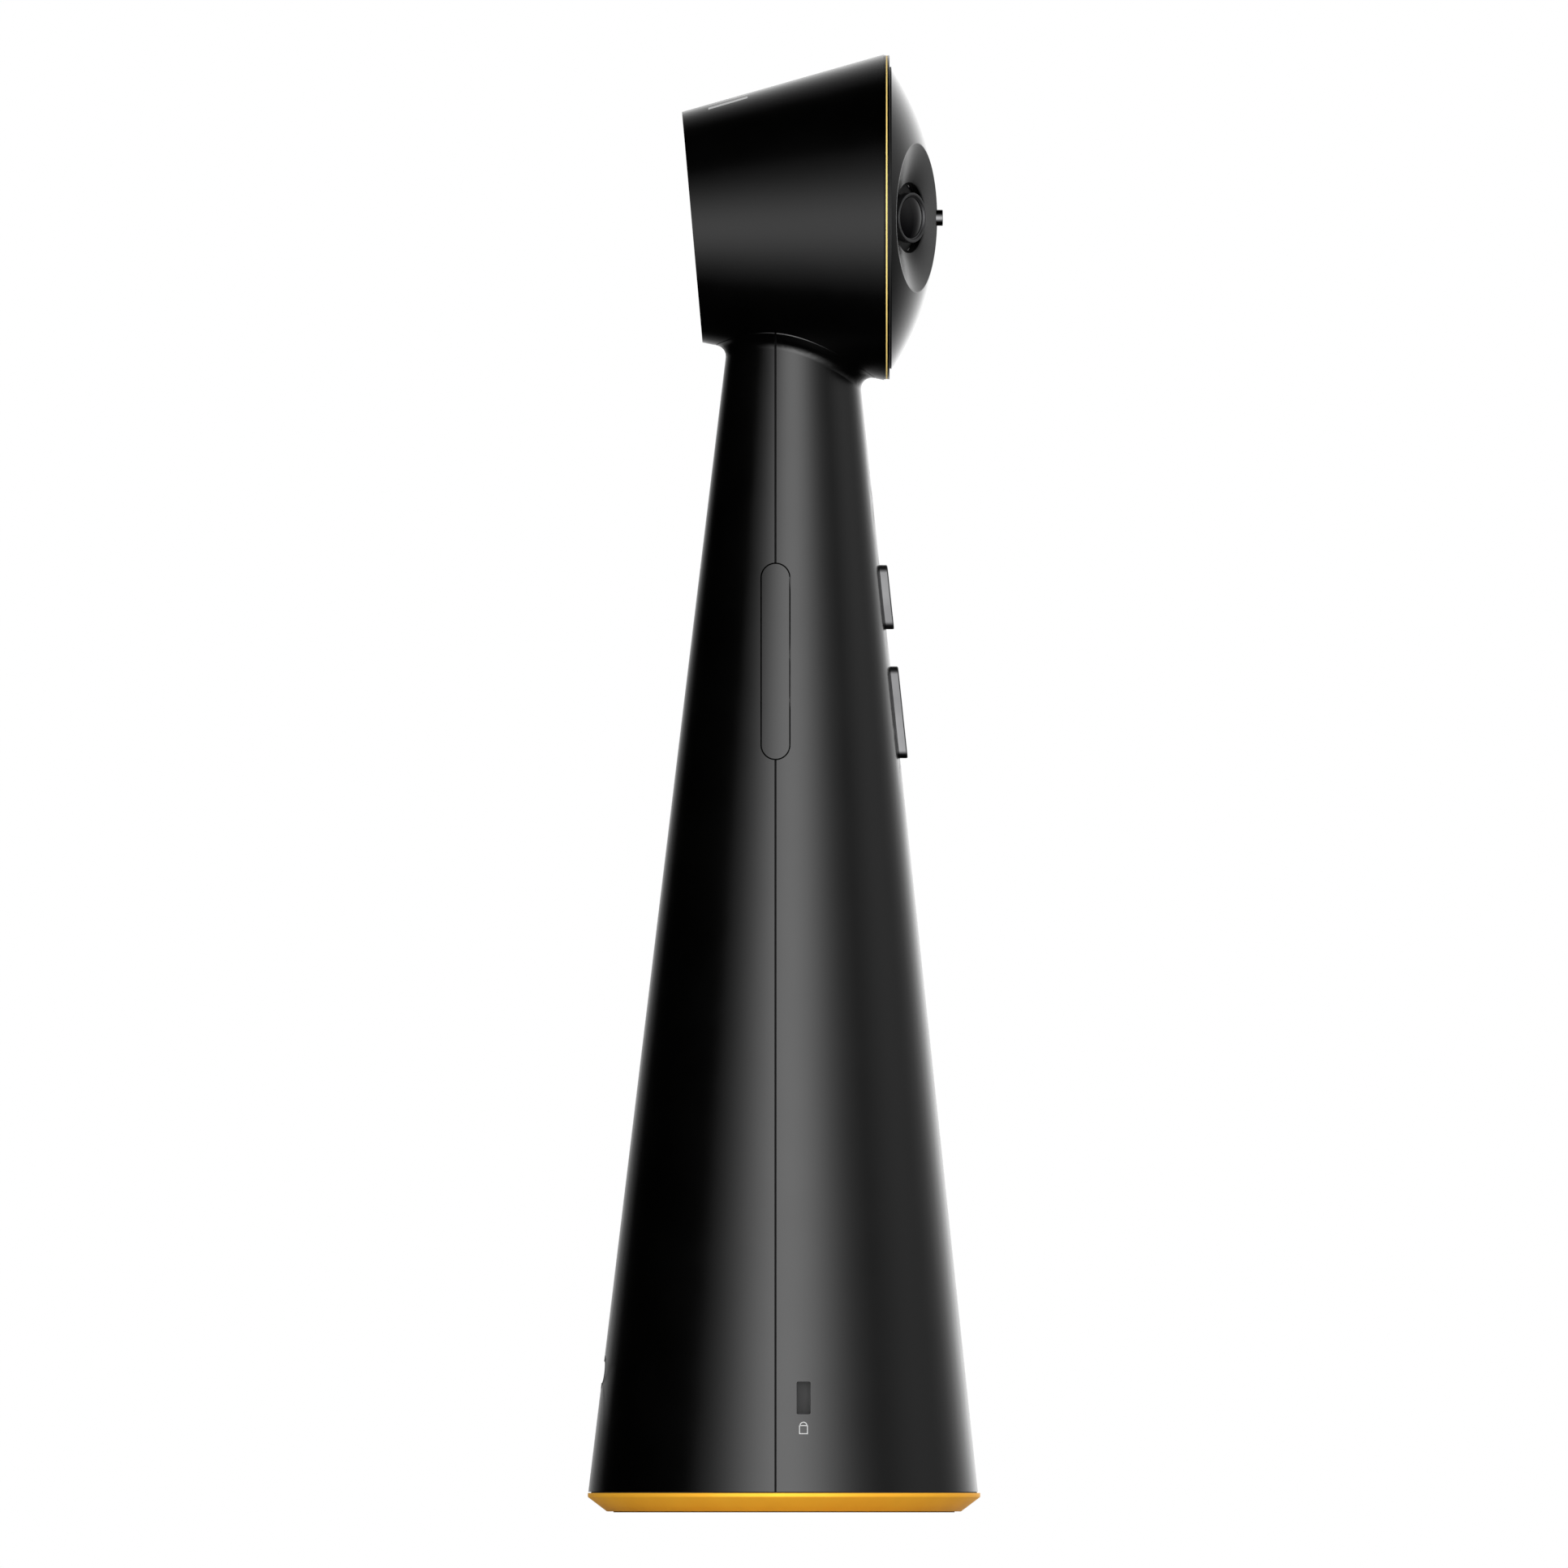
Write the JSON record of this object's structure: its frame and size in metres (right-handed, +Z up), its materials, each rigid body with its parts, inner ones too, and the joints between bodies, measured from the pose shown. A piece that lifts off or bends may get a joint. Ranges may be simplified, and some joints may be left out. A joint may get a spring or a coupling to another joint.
{
  "type": "panoramic conference camera",
  "caption": "Tall cone-shaped conference camera: a head with angled lenses in bowls under a shallow dome, sprung front keys, a security slot and a weighted bevelled base ring.",
  "frame": {"origin": "on the standing surface, under the centre of the base ring", "axes": "+Z up along the stem, +X to the front, where the lenses look, +Y to the camera's own left"},
  "size_m": [0.084, 0.084, 0.3121],
  "materials": {
    "stem_black": "satin black moulded plastic",
    "head_black": "satin black moulded plastic",
    "dome_black": "satin black moulded plastic",
    "port_black": "fine matt plastic",
    "window_black": "satin black, passes light when lit",
    "key_black": "polished black",
    "indicator_black": "polished black",
    "carrier_black": "glass filled nylon",
    "bar_grey": "light grey, satin",
    "gold_ring_metal": "gold anodised, satin",
    "gold_line_metal": "gold anodised, bright",
    "bezel_metal": "dark grey metallic",
    "lens_metal": "black anodised",
    "lens_ring_metal": "black anodised, satin",
    "lens_glass": "coated glass",
    "sensor_glass": "cover glass",
    "lock_steel": "blackened steel",
    "screw_steel": "zinc plated",
    "cast_metal": "die cast",
    "heat_sink_aluminium": "extruded",
    "ballast_iron": "cast, blackened",
    "brass": "machined",
    "foot_rubber": "matt",
    "thermal_rubber": "soft pad",
    "board_green": "solder mask",
    "chip_black": "moulded epoxy",
    "flex_amber": "polyimide film"
  },
  "bodies": {
    "camera": {"base_ring": "gold_ring_metal", "base_plate": "cast_metal", "rubber_foot": "foot_rubber", "tripod_insert": "brass", "ballast_weight": "ballast_iron", "base_screws": "screw_steel", "front_shell": "stem_black", "rear_shell": "stem_black", "lock_plate": "lock_steel", "port_bezel": "port_black", "usb_socket": "screw_steel", "port_board": "board_green", "port_flex": "flex_amber", "spine": "cast_metal", "spine_screws": "screw_steel", "main_board": "board_green", "processor": "chip_black", "memory_chips": "chip_black", "thermal_pad": "thermal_rubber", "heat_sink": "heat_sink_aluminium", "stem_small_screws": "screw_steel", "rocker_pin": "screw_steel", "button_bracket": "carrier_black", "button_board": "board_green", "button_switches": "chip_black", "button_flex": "flex_amber", "mic_gasket": "foot_rubber", "mic_board": "board_green", "light_boards": "board_green", "neck_bracket": "cast_metal", "neck_screws": "screw_steel", "head_small_screws": "screw_steel", "head_ribbon": "flex_amber", "head_shell": "head_black", "rear_cap": "head_black", "top_bars": "bar_grey", "front_bezel": "bezel_metal", "gold_ring": "gold_line_metal", "dome_cover": "dome_black", "indicator_lens": "indicator_black", "indicator_board": "board_green", "lens_carrier": "carrier_black", "head_board": "board_green", "sensor_flexes": "flex_amber", "image_sensors": "sensor_glass", "lens_holders": "carrier_black", "light_seals": "foot_rubber", "status_window_right": "window_black", "status_window_left": "window_black", "sensor_board_right": "board_green", "sensor_board_left": "board_green", "lens_barrel_right": "lens_metal", "lens_barrel_left": "lens_metal", "lens_ring_right": "lens_ring_metal", "lens_ring_left": "lens_ring_metal", "lens_glass_right": "lens_glass", "lens_glass_left": "lens_glass"},
    "upper_key": {"upper_button": "key_black"},
    "lower_key": {"lower_button": "key_black"}
  },
  "joints": [
    {"name": "upper_key_press", "type": "slide", "parent": "camera", "child": "upper_key", "axis": [-1, 0, 0], "range_m": [0, 0.0006], "stiffness_N_per_m": 2500, "springref_m": -0.0001},
    {"name": "lower_key_rock", "type": "hinge", "parent": "camera", "child": "lower_key", "pos_m": [0.01982, 0, 0.17125], "axis": [0, 1, 0], "range_deg": [-3, 3], "stiffness_Nm_per_rad": 0.25}
  ]
}
